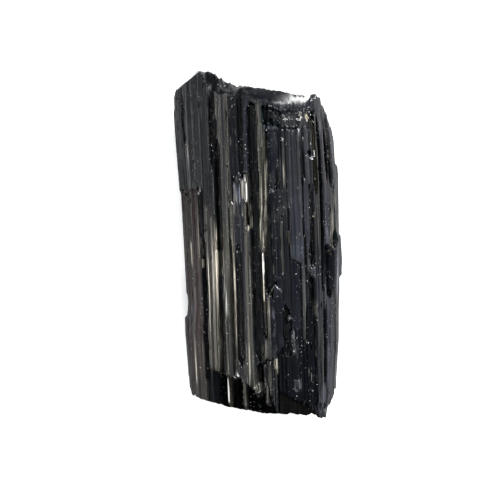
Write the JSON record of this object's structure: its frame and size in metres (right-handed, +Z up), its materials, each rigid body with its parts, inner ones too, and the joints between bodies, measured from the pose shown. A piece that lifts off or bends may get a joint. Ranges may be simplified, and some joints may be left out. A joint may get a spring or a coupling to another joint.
{
  "type": "tourmaline crystal",
  "caption": "Black tourmaline crystal: a log of striated columns grown together, with stepped, broken ends, that lies on its flattest side.",
  "frame": {"origin": "centre of the crystal's footprint, on the surface that it lies on", "axes": "+Y along the crystal, towards its peaked broken end; +X across it; +Z up, out of the ribbed top face"},
  "size_m": [0.0388, 0.0836, 0.0286],
  "materials": {
    "black_tourmaline": "black crystal faces, satin to glassy, with fine grooves along the crystal and paler, rougher broken places"
  },
  "bodies": {
    "root": {"tourmaline_crystal": "black_tourmaline"}
  },
  "joints": []
}
